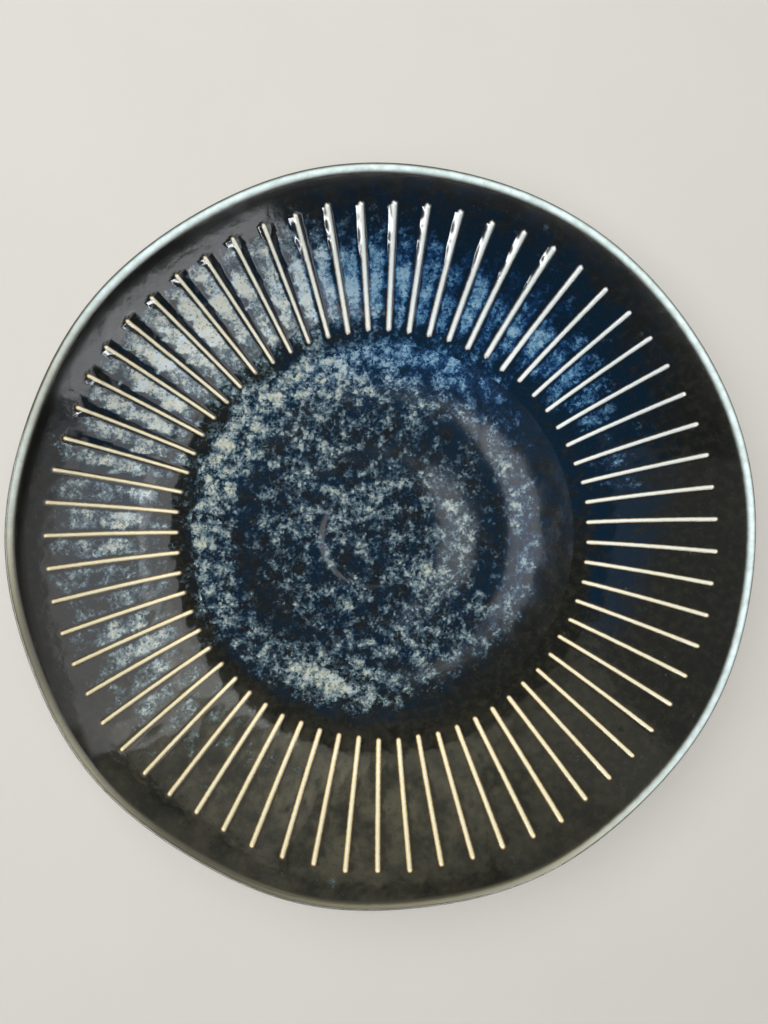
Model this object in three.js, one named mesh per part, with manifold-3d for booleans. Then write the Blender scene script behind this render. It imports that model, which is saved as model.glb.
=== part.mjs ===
// A deep round plate of glazed stoneware, in millimetres, +Z up, standing on its foot at z = 0.
// A cream clay body carries a ring of raised ribs on its inside wall. Coats of glaze cover the body
// inside, over the lip, outside and under the foot, and the ribs' crests and the foot stay bare clay.
import * as THREE from "three";
import { mergeVertices } from "three/addons/utils/BufferGeometryUtils.js";
import Module from "manifold-3d";

// Overall sizes
const RIM_RADIUS = 106;
const HEIGHT = 40;
const WELL_RADIUS = 62;

// Clay body
const CLAY_FLOOR = 3.4;
const CLAY_LIP = 1.6;
const FOOT_HEIGHT = 4;
const FOOT_WIDTH = 4.5;
const FOOT_SETBACK = 4; // from the well's edge in to the foot's outer wall
const FOOT_CHAMFER = 0.8;

// Inside wall: a curve that leaves the flat well and steepens up to the lip
const LIP_SLOPE = THREE.MathUtils.degToRad(53);
const WALL_LOWER_REACH = 13;
const WALL_UPPER_REACH = 17.3;

// Glaze
const GLAZE = 0.6;
const SEAT_GAP = 0.3; // between a coat and the clay, and between two coats
const LIP_BAND = 0.7; // how far the lip's coat runs down each face past the rounded edge
const GLAZE_LINE = 1.6; // bare clay left beside the foot

// Ribs
const RIB_COUNT = 64;
const RIB_WIDTH = 1.3;
const RIB_RISE = 0.8; // above the glaze
const RIB_WELL_MARGIN = 4;
const RIB_RIM_MARGIN = 8.3;
const RIB_END_SLOPE = 1.1; // length of the sloping end of a rib's crest
const FIRST_RIB = THREE.MathUtils.degToRad(4.2);

// Hand-made edge: waves of the outline, each with its count, depth and the direction of one crest
const RIM_WAVES = [
  { count: 9, depth: 0.29, crest: THREE.MathUtils.degToRad(17.3) },
  { count: 10, depth: 0.12, crest: THREE.MathUtils.degToRad(2.9) },
  { count: 4, depth: 0.11, crest: THREE.MathUtils.degToRad(3.5) },
];

// Fineness of the curves
const SEGMENTS = RIB_COUNT; // one flat facet under each rib
const WALL_STEPS = 6;
const LIP_STEPS = 4;

// Sizes that follow from those above
const COAT = GLAZE + SEAT_GAP;
const FLOOR = CLAY_FLOOR + 2 * COAT;
const LIP = CLAY_LIP + 2 * COAT;
const WELL_TOP = FOOT_HEIGHT + FLOOR;
const FOOT_RADIUS = WELL_RADIUS - FOOT_SETBACK;
const FOOT_BORE = FOOT_RADIUS - FOOT_WIDTH;
const RIB_START_RADIUS = WELL_RADIUS + RIB_WELL_MARGIN;
const RIB_END_RADIUS = RIM_RADIUS - RIB_RIM_MARGIN;
const RIB_ROOT = CLAY_LIP / 2;
const STEP_ANGLE = (2 * Math.PI) / SEGMENTS;

const wasm = await Module();
wasm.setup();

// Section: points are (radius, height).

const lipCentre = new THREE.Vector2(RIM_RADIUS - LIP / 2, HEIGHT - LIP / 2);
const lipAlong = new THREE.Vector2(Math.cos(LIP_SLOPE), Math.sin(LIP_SLOPE));
const lipInward = new THREE.Vector2(-lipAlong.y, lipAlong.x);
const lipInside = lipCentre.clone().addScaledVector(lipInward, LIP / 2);

const insideWall = new THREE.CubicBezierCurve(
  new THREE.Vector2(WELL_RADIUS, WELL_TOP),
  new THREE.Vector2(WELL_RADIUS + WALL_LOWER_REACH, WELL_TOP),
  lipInside.clone().addScaledVector(lipAlong, -WALL_UPPER_REACH),
  lipInside,
);

// Places along the wall are shares of its length, from 0 at the well to 1 at the lip.
const shareOfWall = (length) => length / insideWall.getLength();

// A point a given distance off the inside wall, towards the inside of the dish.
function offWall(share, distance) {
  const along = insideWall.getTangentAt(share);
  return insideWall.getPointAt(share).add(new THREE.Vector2(-along.y, along.x).multiplyScalar(distance));
}

// A point of the outside face, sunk a given depth into the wall.
function outsideWall(share, depth) {
  return offWall(share, depth - THREE.MathUtils.lerp(FLOOR, LIP, share));
}

// The place along the inside wall where it has a given radius, found by halving.
function wallAtRadius(radius) {
  let low = 0;
  let high = 1;
  while (high - low > Number.EPSILON) {
    const middle = (low + high) / 2;
    if (insideWall.getPointAt(middle).x < radius) low = middle;
    else high = middle;
  }
  return (low + high) / 2;
}

// Evenly stepped values from one number to another, both included.
function steps(from, to, count) {
  return Array.from({ length: count + 1 }, (_, i) => THREE.MathUtils.lerp(from, to, i / count));
}

const insideLine = (from, to, distance) =>
  steps(from, to, WALL_STEPS).map((share) => offWall(share, distance));
const outsideLine = (from, to, depth) =>
  steps(from, to, WALL_STEPS).map((share) => outsideWall(share, depth));

// The rounded edge of the lip from its outside to its inside, at a given depth under the surface.
function lipArc(depth) {
  const start = LIP_SLOPE - Math.PI / 2;
  return steps(start, start + Math.PI, LIP_STEPS).map(
    (angle) =>
      new THREE.Vector2(
        lipCentre.x + (LIP / 2 - depth) * Math.cos(angle),
        lipCentre.y + (LIP / 2 - depth) * Math.sin(angle),
      ),
  );
}

const lipBandStart = 1 - shareOfWall(LIP_BAND);
const halfSeam = shareOfWall(SEAT_GAP) / 2;

// Solids

// A turned solid whose section is given counter-clockwise, with one facet centred under each rib.
function turned(section) {
  const lathe = new THREE.LatheGeometry(section, SEGMENTS, FIRST_RIB + Math.PI / 2 + STEP_ANGLE / 2);
  return lathe.rotateX(Math.PI / 2);
}

// The same for a ring, whose section closes on itself.
function turnedRing(section) {
  return turned([...section, section[0].clone()]);
}

function toSolid(geometry) {
  const plain = geometry.clone();
  plain.deleteAttribute("normal");
  plain.deleteAttribute("uv");
  const merged = mergeVertices(plain);
  return new wasm.Manifold(
    new wasm.Mesh({
      numProp: 3,
      vertProperties: merged.attributes.position.array,
      triVerts: new Uint32Array(merged.index.array),
    }),
  );
}

function toGeometry(solid) {
  const mesh = solid.getMesh();
  const geometry = new THREE.BufferGeometry();
  geometry.setAttribute("position", new THREE.BufferAttribute(mesh.vertProperties, mesh.numProp));
  geometry.setIndex(new THREE.BufferAttribute(mesh.triVerts, 1));
  return geometry;
}

// Upright blades in the middle planes of the ribs, grown past a rib's sides and ends by a clearance.
function ribBlades(clearance) {
  const from = RIB_START_RADIUS - clearance;
  const to = RIB_END_RADIUS + clearance;
  const blades = Array.from({ length: RIB_COUNT }, (_, i) => {
    const blade = new THREE.BoxGeometry(to - from, RIB_WIDTH + 2 * clearance, 2 * HEIGHT);
    return toSolid(blade.translate((from + to) / 2, 0, 0).rotateZ(FIRST_RIB + i * STEP_ANGLE));
  });
  return wasm.Manifold.union(blades);
}

// The ribs: the slices that the blades take out of a low turned ring with sloping ends.
function ribs() {
  const from = wallAtRadius(RIB_START_RADIUS);
  const to = wallAtRadius(RIB_END_RADIUS);
  const endSlope = shareOfWall(RIB_END_SLOPE);
  const ring = turnedRing([
    ...insideLine(from, to, -COAT - RIB_ROOT),
    offWall(to, 0),
    ...insideLine(to - endSlope, from + endSlope, RIB_RISE),
    offWall(from, 0),
  ]);
  return toSolid(ring).intersect(ribBlades(0));
}

// Moves each point in or out with the waves of the rim, which fade to nothing at the well's edge.
function wave(geometry) {
  const position = geometry.attributes.position;
  for (let i = 0; i < position.count; i += 1) {
    const x = position.getX(i);
    const y = position.getY(i);
    const radius = Math.hypot(x, y);
    const share = THREE.MathUtils.smoothstep(radius, WELL_RADIUS, RIM_RADIUS);
    if (share === 0) continue;
    const angle = Math.atan2(y, x);
    const push = RIM_WAVES.reduce((sum, w) => sum + w.depth * Math.cos(w.count * (angle - w.crest)), 0);
    const scale = 1 + (share * push) / radius;
    position.setXY(i, x * scale, y * scale);
  }
  return geometry;
}

// Pieces

// Clay: floor, wall, lip and foot in one, with the ribs standing on the inside wall.
function stonewareBody() {
  const underFloor = FOOT_HEIGHT + COAT;
  const section = [
    new THREE.Vector2(0, underFloor),
    new THREE.Vector2(FOOT_BORE, underFloor),
    new THREE.Vector2(FOOT_BORE, FOOT_CHAMFER),
    new THREE.Vector2(FOOT_BORE + FOOT_CHAMFER, 0),
    new THREE.Vector2(FOOT_RADIUS - FOOT_CHAMFER, 0),
    new THREE.Vector2(FOOT_RADIUS, FOOT_CHAMFER),
    new THREE.Vector2(FOOT_RADIUS, underFloor),
    ...outsideLine(0, lipBandStart, COAT),
    ...lipArc(COAT),
    ...insideLine(lipBandStart, 0, -COAT),
    new THREE.Vector2(0, WELL_TOP - COAT),
  ];
  return toGeometry(toSolid(turned(section)).add(ribs()));
}

// The mottled pool of glaze on the flat floor of the dish.
function wellGlaze() {
  const edge = WELL_RADIUS - SEAT_GAP / 2;
  return turned([
    new THREE.Vector2(0, WELL_TOP - GLAZE),
    new THREE.Vector2(edge, WELL_TOP - GLAZE),
    new THREE.Vector2(edge, WELL_TOP),
    new THREE.Vector2(0, WELL_TOP),
  ]);
}

// The coat on the inside wall, slotted where the ribs come through it.
function wallGlaze() {
  const from = halfSeam;
  const to = lipBandStart - halfSeam;
  const coat = turnedRing([...insideLine(from, to, -GLAZE), ...insideLine(to, from, 0)]);
  return toGeometry(toSolid(coat).subtract(ribBlades(SEAT_GAP)));
}

// The thin pale coat round the lip.
function rimGlaze() {
  const from = lipBandStart + halfSeam;
  return turnedRing([
    outsideWall(from, 0),
    ...lipArc(0),
    offWall(from, 0),
    offWall(from, -GLAZE),
    ...lipArc(GLAZE).reverse(),
    outsideWall(from, GLAZE),
  ]);
}

// The coat on the outside, from the lip down to the bare clay beside the foot.
function outsideGlaze() {
  const to = lipBandStart - halfSeam;
  const end = FOOT_RADIUS + GLAZE_LINE;
  return turnedRing([
    new THREE.Vector2(end, FOOT_HEIGHT),
    ...outsideLine(0, to, 0),
    ...outsideLine(to, 0, GLAZE),
    new THREE.Vector2(end, FOOT_HEIGHT + GLAZE),
  ]);
}

// The coat under the floor, inside the foot.
function footRecessGlaze() {
  const edge = FOOT_BORE - GLAZE_LINE;
  return turned([
    new THREE.Vector2(0, FOOT_HEIGHT),
    new THREE.Vector2(edge, FOOT_HEIGHT),
    new THREE.Vector2(edge, FOOT_HEIGHT + GLAZE),
    new THREE.Vector2(0, FOOT_HEIGHT + GLAZE),
  ]);
}

// Assembly

const clay = new THREE.MeshStandardMaterial({ color: 0xd8c9a3, roughness: 0.6, metalness: 0 });
const blueGlaze = new THREE.MeshStandardMaterial({ color: 0x24384c, roughness: 0.12, metalness: 0 });
const darkGlaze = new THREE.MeshStandardMaterial({ color: 0x1f2420, roughness: 0.1, metalness: 0 });
const paleGlaze = new THREE.MeshStandardMaterial({ color: 0x93a596, roughness: 0.18, metalness: 0 });

const plate = new THREE.Group();

function place(name, geometry, material) {
  const mesh = new THREE.Mesh(wave(geometry), material);
  mesh.name = name;
  plate.add(mesh);
}

place("stoneware_body", stonewareBody(), clay);
place("well_glaze", wellGlaze(), blueGlaze);
place("wall_glaze", wallGlaze(), darkGlaze);
place("rim_glaze", rimGlaze(), paleGlaze);
place("outside_glaze", outsideGlaze(), darkGlaze);
place("foot_recess_glaze", footRecessGlaze(), darkGlaze);

export default plate;
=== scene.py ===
import math

import bpy
import numpy as np
from mathutils import Matrix, Vector

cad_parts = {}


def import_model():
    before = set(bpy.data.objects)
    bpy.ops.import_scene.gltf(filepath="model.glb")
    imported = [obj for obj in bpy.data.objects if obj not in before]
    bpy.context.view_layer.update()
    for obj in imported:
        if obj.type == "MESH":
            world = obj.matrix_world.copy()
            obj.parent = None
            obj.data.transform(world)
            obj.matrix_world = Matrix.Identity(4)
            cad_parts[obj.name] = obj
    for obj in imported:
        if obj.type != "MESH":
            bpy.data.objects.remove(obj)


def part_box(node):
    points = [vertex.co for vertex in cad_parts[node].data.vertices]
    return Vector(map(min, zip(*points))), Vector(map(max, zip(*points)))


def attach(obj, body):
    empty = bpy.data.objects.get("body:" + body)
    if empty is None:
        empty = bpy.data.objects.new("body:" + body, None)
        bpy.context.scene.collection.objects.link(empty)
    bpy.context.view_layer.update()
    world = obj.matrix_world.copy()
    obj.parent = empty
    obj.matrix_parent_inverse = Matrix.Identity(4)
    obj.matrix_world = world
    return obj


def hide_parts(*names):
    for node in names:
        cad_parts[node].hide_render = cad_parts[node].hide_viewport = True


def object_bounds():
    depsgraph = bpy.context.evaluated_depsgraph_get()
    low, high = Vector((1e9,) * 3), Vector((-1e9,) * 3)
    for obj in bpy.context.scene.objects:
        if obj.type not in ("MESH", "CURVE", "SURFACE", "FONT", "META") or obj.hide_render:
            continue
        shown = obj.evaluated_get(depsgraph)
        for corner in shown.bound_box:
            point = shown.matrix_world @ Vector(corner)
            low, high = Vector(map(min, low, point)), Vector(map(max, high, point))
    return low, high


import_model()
cad_low, cad_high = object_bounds()

# A deep round plate of glazed stoneware. Lengths are millimetres until a mesh is made of them.
MM = 0.001

# Section of the plate, as its solids have it
HEIGHT = cad_high.z / MM
WELL_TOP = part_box("well_glaze")[1].z / MM
WELL_RADIUS = 62.0
RIM_RADIUS = 105.88
LIP = 3.4
FLOOR = 5.2
LIP_SLOPE = math.radians(53)
WALL_LOWER_REACH = 13.0
WALL_UPPER_REACH = 17.3
LIP_BAND = 0.7
FOOT_HEIGHT = 4.0
FOOT_SETBACK = 4.0
FOOT_WIDTH = 4.5
FOOT_RADIUS = WELL_RADIUS - FOOT_SETBACK
FOOT_BORE = FOOT_RADIUS - FOOT_WIDTH
FOOT_ROUND = 0.8
GLAZE_LINE = 1.6
GLAZE = 0.6

# About how thick the coat inside the foot still is at its rolled edge
RECESS_EDGE = 0.1

# Clay behind the coats: its depth under their surface, how far the flat beside the foot runs in behind the
# hem, how far above the hem the wall starts, and the depth of a rib's root
CLAY_DEPTH = 0.75
BARE_LAP = 1.5
BODY_LAP = 3.0
RIB_ROOT = 1.5

# Ribs on the inside wall
RIB_COUNT = 64
RIB_PITCH = 2 * math.pi / RIB_COUNT
FIRST_RIB = math.radians(4.2)
RIB_START = 66.0
RIB_END = 97.7
RIB_HALF = 0.65
RIB_RISE = 0.42
RIB_ROUND = 0.3
RIB_FLANK = 1.3
RIB_FADE = 0.14
RIB_END_SCATTER = 0.25
RIB_SEED = 11
SLOT_HALF = 0.75

# Glaze that has run against some ribs: on their left (1) or right (-1), the directions in degrees where it
# comes, is full, fades and is gone, the shares of the rib's length where it comes and is full, then its slope
# and its reach beside the rib at the inner and outer end
RUNS = [
    (1, (50, 60, 106, 114), (0, 0.02), (0.94, 0.385), (0.6, 1.95)),
    (1, (108, 114, 160, 170), (0.84, 0.95), (1.0, 0.41), (1.0, 1.9)),
    (-1, (98, 108, 160, 174), (0, 0.02), (1.0, 0.36), (0.6, 2.7)),
]

# How much crisper run glaze makes a rib's edges, and how far past the rib's ends it fades out
RUN_CRISPNESS = 0.45
RUN_END = 0.8

# Painted shade: dark bands beside some ribs, where the speckle and milk are left out, stand in for the dark
# reflections there: side, directions, and width at the rib's inner and outer end; its soft edge in shares of
# that width, and how much of the speckle it covers
DARK_BANDS = [(-1, (98, 108, 160, 174), (1.3, 3.5)), (1, (205, 225, 300, 320), (1.5, 2.4))]
DARK_BAND_EDGE = (0.75, 1.15)
DARK_BAND_COVER = 0.95

# How much less (or more, below 0) of the clay comes through on some ribs, and where their pale is widened as
# a
# painted highlight: directions, left and right side
BARED_AND_HIGHLIT_RIBS = [
    ((80, 125, 165, 185), 0.1, 0.1),
    ((215, 245, 300, 330), -0.2, -0.2),
    # Painted highlight: a wider pale band on the left flank of the top ribs, where light glints on them
    ((38, 60, 100, 114), -0.38, 0),
]

# Waves of the hand-made outline: count, depth and the direction of one crest
RIM_WAVES = [(9, 0.29, 17.3), (10, 0.12, 2.9), (4, 0.11, 3.5)]

# Painted shade: where the pale band is narrower on the outside of the lip, so that side reads darker, and by
# how much
SHADED_OUTER_LIP = (60, 85, 215, 235)
OUTER_LIP_SHADING = 0.2

# Painted shade: where the crease under the lip is painted black
SHADED_CREASE = (85, 110, 188, 203)

# Throwing rings in the well: place of the middle, radius of the crest, width of its inner and outer side,
# rise of the inner side and fall of the outer one
RINGS = [(-4, 0, 18, 4, 18, 0.74, 1.5), (0, 0, 40, 7, 12, 0.3, 0.75), (0, 0, 68, 16, 1, 0.47, 0)]

# Turning lines, and the rolled and drifting lower edge of the outside coat
TURNING_SPACING = 5.5
TURNING_RISE = 0.05
HEM_ROUND = 0.8
HEM_DRIFT = 0.45

# Unevenness of the glaze: a depth in the well and on the wall, and shares by which runs, the painted dark
# bands and the hem wander; each has ripples with their longest and shortest wave, their count and a seed, and
# the hem reads its own on a circle
UNEVEN_WELL = 0.018
WELL_RIPPLES = (16, 6, 14, 3)
UNEVEN_WALL = 0.02
WALL_RIPPLES = (12, 4, 18, 5)
UNEVEN_RUN = 0.05
RUN_RIPPLES = (7, 3, 16, 8)
UNEVEN_DARK_BAND = 0.25
DARK_BAND_RIPPLES = (6, 2.5, 16, 9)
UNEVEN_HEM = 0.5
HEM_RIPPLES = (40, 12, 9, 17)
HEM_RIPPLE_RADIUS = 30.0

# Over what length the unevenness comes and goes at the well's edge and outside the lip, and how far below the
# lip the wall's starts to go and is gone
SOFT_EDGE = 6.0
SMOOTH_UNDER_LIP = (16.0, 7.0)

# Distance from a rib that is noted where there is none near
FAR = 9.0

# Fineness of the meshes
SECTION_POINTS = 1500
WELL_COLUMNS = 320
WELL_ROWS = 50
TURNED_COLUMNS = 384
MIDDLE_RADIUS = 0.9
RIM_ROWS = 24
OUTSIDE_ROWS = 44
RECESS_ROWS = 36
BODY_ROWS = 40
FOOT_FLAT_POINTS = 12
FOOT_FILLET_POINTS = 5
FOOT_ROUND_POINTS = 7


def smoothstep(low, high, value):
    share = np.clip((value - low) / (high - low), 0, 1)
    return share * share * (3 - 2 * share)


def wrapped(angle):
    """An angle brought into the range from -pi to pi."""
    return (angle + math.pi) % (2 * math.pi) - math.pi


# Section of the glazed surface: from the middle of the well over the lip and down to the foot


def cubic(points, share):
    p0, p1, p2, p3 = (np.array(point) for point in points)
    t = share[:, None]
    return (1 - t) ** 3 * p0 + 3 * (1 - t) ** 2 * t * p1 + 3 * (1 - t) * t**2 * p2 + t**3 * p3


def facing(points):
    """The direction that a line of section points faces, to the left of its way."""
    way = np.gradient(points, axis=0)
    way /= np.linalg.norm(way, axis=1)[:, None]
    return np.stack([-way[:, 1], way[:, 0]], 1)


def lengths(points):
    steps = np.linalg.norm(np.diff(points, axis=0), axis=1)
    return np.concatenate([[0], np.cumsum(steps)])


class Section:
    """The glazed surface's section, read by the length along it."""

    def __init__(self):
        lip_centre = np.array([RIM_RADIUS - LIP / 2, HEIGHT - LIP / 2])
        along = np.array([math.cos(LIP_SLOPE), math.sin(LIP_SLOPE)])
        lip_inside = lip_centre + np.array([-along[1], along[0]]) * LIP / 2
        share = np.linspace(0, 1, SECTION_POINTS)
        wall = cubic(
            [
                (WELL_RADIUS, WELL_TOP),
                (WELL_RADIUS + WALL_LOWER_REACH, WELL_TOP),
                lip_inside - along * WALL_UPPER_REACH,
                lip_inside,
            ],
            share,
        )
        wall_share = lengths(wall) / lengths(wall)[-1]
        thickness = FLOOR + (LIP - FLOOR) * wall_share
        outside = (wall - facing(wall) * thickness[:, None])[::-1]
        turn = LIP_SLOPE + math.pi / 2 - math.pi * share
        lip = lip_centre + LIP / 2 * np.stack([np.cos(turn), np.sin(turn)], 1)
        well = np.stack([WELL_RADIUS * share, np.full_like(share, WELL_TOP)], 1)
        hem = np.array([[FOOT_RADIUS + GLAZE_LINE, FOOT_HEIGHT]])
        points = np.concatenate([well[:-1], wall[:-1], lip[:-1], outside, hem])
        self.points = points
        self.at = lengths(points)
        self.face = facing(points)
        step = SECTION_POINTS - 1
        self.well_end = self.at[step]
        self.wall_end = self.at[2 * step]
        self.lip_end = self.at[3 * step]
        self.lip_top = self.wall_end + LIP / 2 * LIP_SLOPE
        self.end = self.at[-1]

    def read(self, along):
        """Radius, height and the two parts of the facing direction at lengths along the section."""
        return [np.interp(along, self.at, row) for row in (*self.points.T, *self.face.T)]

    def wall_at_radius(self, radius):
        inside = self.at <= self.wall_end
        return float(np.interp(radius, self.points[inside, 0], self.at[inside]))


section = Section()


# Radii between which the well's own speckle and blue go over to the wall's, and the wall's speckle ends
WELL_FADE = (WELL_RADIUS - 3, WELL_RADIUS + 4)
SPECKLE_END = (95.5, 98.5)

# Where speckle, blue, the pale lip with its painted light, the painted highlight of the top ribs and milky
# clouds
# gather: direction and half width in degrees, radius and half width in millimetres, and strength; the well
# also has some speckle and blue all over
WELL_SPECKLE = 0.485
SPECKLE = [
    (155, 30, 56, 8, 0.13),
    (112, 24, 56, 8, 0.12),
    (88, 16, 52, 7, -0.02),
    (245, 17, 51, 6, 0.34),
    (272, 14, 52, 6, 0.12),
    (96, 40, 12, 9, 0.08),
    (20, 40, 12, 9, -0.08),
    (310, 30, 14, 7, 0.05),
    (140, 44, 38, 8, 0.04),
    (150, 24, 26, 7, 0.1),
    (90, 20, 40, 7, 0.08),
    (60, 30, 36, 8, -0.15),
    (200, 40, 24, 8, -0.06),
    (202, 28, 43, 5, -0.2),
    (290, 20, 36, 6, 0.08),
    (350, 30, 36, 5, -0.20),
    (165, 36, 46, 3, -0.16),
    (112, 30, 27, 4, -0.16),
    (345, 40, 23, 8, 0.17),
    (352, 32, 47, 4, 0.12),
    (150, 45, 67, 6, 0.1),
    (80, 26, 65, 6, 0.06),
    (345, 50, 61, 10, -0.46),
    (295, 26, 61, 8, -0.34),
    (258, 34, 64, 5, -0.40),
    (28, 24, 63, 8, -0.26),
    # Strong speckle on the upper left wall, partly the glaze's own and partly painted sheen of the reflection
    # there
    (134, 30, 85, 18, 0.92),
    (180, 26, 84, 17, 0.58),
    (214, 18, 83, 16, 0.48),
    (240, 14, 76, 8, 0.36),
    (100, 18, 80, 14, 0.50),
    (74, 20, 77, 12, 0.50),
    (46, 18, 76, 11, 0.48),
    (20, 16, 74, 9, 0.32),
]
WELL_COBALT = 0.3
COBALT = [
    (52, 24, 79, 15, 1.0),
    (84, 26, 82, 16, 0.9),
    (14, 22, 74, 12, 0.6),
    (346, 14, 74, 7, 0.4),
    (70, 40, 58, 12, 0.45),
    (150, 50, 84, 15, 0.42),
    (330, 60, 60, 12, -0.25),
    (205, 24, 40, 8, -0.1),
    (355, 34, 47, 6, 0.3),
    (245, 20, 51, 7, -0.12),
]
# Pale of the lip: partly the glaze thinning on it, partly painted light, strongest on the right where the lip
# is lit
PALE_AND_LIT_LIP = [
    (50, 85, 104, 60, 1.7),
    (132, 22, 104, 60, 0.36),
    (172, 16, 104, 60, 0.5),
    (215, 15, 104, 60, 0.3),
    (318, 25, 104, 60, 0.26),
    (264, 24, 104, 60, 0.14),
]
# Painted highlight: the top ribs are painted bluish white where light glints on them
HIGHLIT_TOP_RIBS = [(58, 62, 90, 60, 1.3)]
MILK = [(232, 26, 86, 16, 0.9), (268, 24, 86, 18, 0.9), (300, 18, 84, 16, 0.3)]


def gathered(base, patches, angle, radius):
    """How strongly patches cover places on the inside, from 0 to 1, over a base that the well has."""
    total = base * (1 - smoothstep(*WELL_FADE, radius))
    for direction, half_width, middle_radius, half_depth, strength in patches:
        turn = np.degrees(wrapped(angle - math.radians(direction))) / half_width
        out = (radius - middle_radius) / half_depth
        total = total + strength * np.exp(-turn * turn - out * out)
    return np.clip(total, 0, 1)


# Relief of the surface: ribs, throwing marks and unevenness


def ripples(angle, radius, longest, shortest, count, seed):
    """A smooth uneven field of about unit size: plane waves with lengths between two limits."""
    x = radius * np.cos(angle)
    y = radius * np.sin(angle)
    draw = np.random.default_rng(seed)
    total = np.zeros_like(x)
    for _ in range(count):
        heading, phase, share = draw.uniform(0, 1, 3) * (2 * math.pi, 2 * math.pi, 1)
        turn = 2 * math.pi / (shortest + (longest - shortest) * share)
        total += np.sin(turn * (x * math.cos(heading) + y * math.sin(heading)) + phase)
    return total / math.sqrt(count / 2)


rib_draw = np.random.default_rng(RIB_SEED)
rib_starts = section.wall_at_radius(RIB_START) + RIB_HALF + rib_draw.normal(0, RIB_END_SCATTER, RIB_COUNT)
rib_ends = section.wall_at_radius(RIB_END) - RIB_HALF + rib_draw.normal(0, RIB_END_SCATTER, RIB_COUNT)


def rib_frame(angle, along, radius):
    """Of the nearest rib: how far a place lies beside its crest line, past its start and short of its end."""
    number = np.round((angle - FIRST_RIB) / RIB_PITCH).astype(int)
    across = radius * np.sin(angle - FIRST_RIB - number * RIB_PITCH)
    number = number % RIB_COUNT
    return across, along - rib_starts[number], rib_ends[number] - along


def rib_distance(angle, along, radius):
    """How far a place on the wall lies from the crest line of the nearest rib."""
    across, past_start, to_end = rib_frame(angle, along, radius)
    return np.hypot(across, np.maximum(-np.minimum(past_start, to_end), 0))


def between(angle, start, full, fading, gone):
    """1 between two directions and 0 beyond them, with soft ends."""
    turn = np.degrees(angle) % 360
    return smoothstep(start, full, turn) * (1 - smoothstep(fading, gone, turn))


def rib_share(radius):
    """How far along the ribs a radius lies, from 0 to 1."""
    return np.clip((radius - RIB_START) / (RIB_END - RIB_START), 0, 1)


def part_way(ends, share):
    """A value that goes from one end to the other along the ribs."""
    return ends[0] + (ends[1] - ends[0]) * share


def rib_height(angle, along, radius):
    """Height of the ribs; run glaze makes one flank of some of them broad and less steep."""
    across, past_start, to_end = rib_frame(angle, along, radius)
    beside = 1 - smoothstep(0, RUN_END, -np.minimum(past_start, to_end))
    share = rib_share(radius)
    wander = 1 + UNEVEN_RUN * ripples(angle, radius, *RUN_RIPPLES)
    left = smoothstep(-RIB_ROUND, RIB_ROUND, across)
    rise = RIB_RISE
    flank = RIB_FLANK
    crisp = 1
    for side, directions, stretch, slopes, reaches in RUNS:
        here = between(angle, *directions) * smoothstep(*stretch, share)
        slope = part_way(slopes, share)
        rise = np.maximum(rise, here * slope * part_way(reaches, share) * wander)
        flank = flank + here * beside * (left if side > 0 else 1 - left) * (slope - flank)
        crisp = np.minimum(crisp, 1 - RUN_CRISPNESS * here)
    foot = rise / flank
    rounding = RIB_ROUND * crisp
    fade = RIB_FADE * crisp
    distance = np.hypot(rib_distance(angle, along, radius), rounding) - rounding
    return rise * np.logaddexp(0, (foot - distance) / fade) / np.logaddexp(0, foot / fade)


def painted_dark_band(angle, along, radius):
    """Painted shade: where a dark band beside a rib stands in for the dark reflection there, from 0 to 1."""
    across, past_start, to_end = rib_frame(angle, along, radius)
    share = rib_share(radius)
    wander = 1 + UNEVEN_DARK_BAND * ripples(angle, radius, *DARK_BAND_RIPPLES)
    past_ends = np.maximum(-np.minimum(past_start, to_end), 0)
    cover = 0
    for side, directions, reaches in DARK_BANDS:
        beside = np.abs(across) / (part_way(reaches, share) * wander) + past_ends
        here = between(angle, *directions) * (across * side > 0)
        cover = cover + here * (1 - smoothstep(*DARK_BAND_EDGE, beside))
    return cover


def ring_height(angle, radius):
    """Height of the throwing rings in the well."""
    x = radius * np.cos(angle)
    y = radius * np.sin(angle)
    height = np.zeros_like(x)
    for middle_x, middle_y, crest, inner, outer, rise, fall in RINGS:
        out = np.hypot(x - middle_x, y - middle_y)
        height += fall - rise + rise * smoothstep(crest - inner, crest, out)
        height -= fall * smoothstep(crest, crest + outer, out)
    return height


def relief(angle, along, radius):
    """Height of the glazed surface over the plain section."""
    in_well = 1 - smoothstep(section.well_end - SOFT_EDGE, section.well_end, along)
    on_wall = smoothstep(section.well_end, section.well_end + SOFT_EDGE, along)
    going, gone = SMOOTH_UNDER_LIP
    on_wall *= 1 - smoothstep(section.wall_end - going, section.wall_end - gone, along)
    outside = smoothstep(section.lip_end, section.lip_end + SOFT_EDGE, along)
    height = ring_height(angle, radius) * (along < section.wall_end)
    height += rib_height(angle, along, radius) * (along < section.wall_end)
    height += UNEVEN_WELL * ripples(angle, radius, *WELL_RIPPLES) * in_well
    height += UNEVEN_WALL * ripples(angle, radius, *WALL_RIPPLES) * np.maximum(on_wall, outside)
    height += TURNING_RISE * np.cos(2 * math.pi * along / TURNING_SPACING) * outside
    hem = np.clip(1 - (section.end - HEM_DRIFT - along) / HEM_ROUND, 0, 1)
    return height - GLAZE * (1 - np.sqrt(np.maximum(1 - hem * hem, 0)))


def placed(angle, radius, height):
    """Points by their angle and radius round the plate's axis, and their height."""
    return np.stack([radius * np.cos(angle), radius * np.sin(angle), height], -1)


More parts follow.
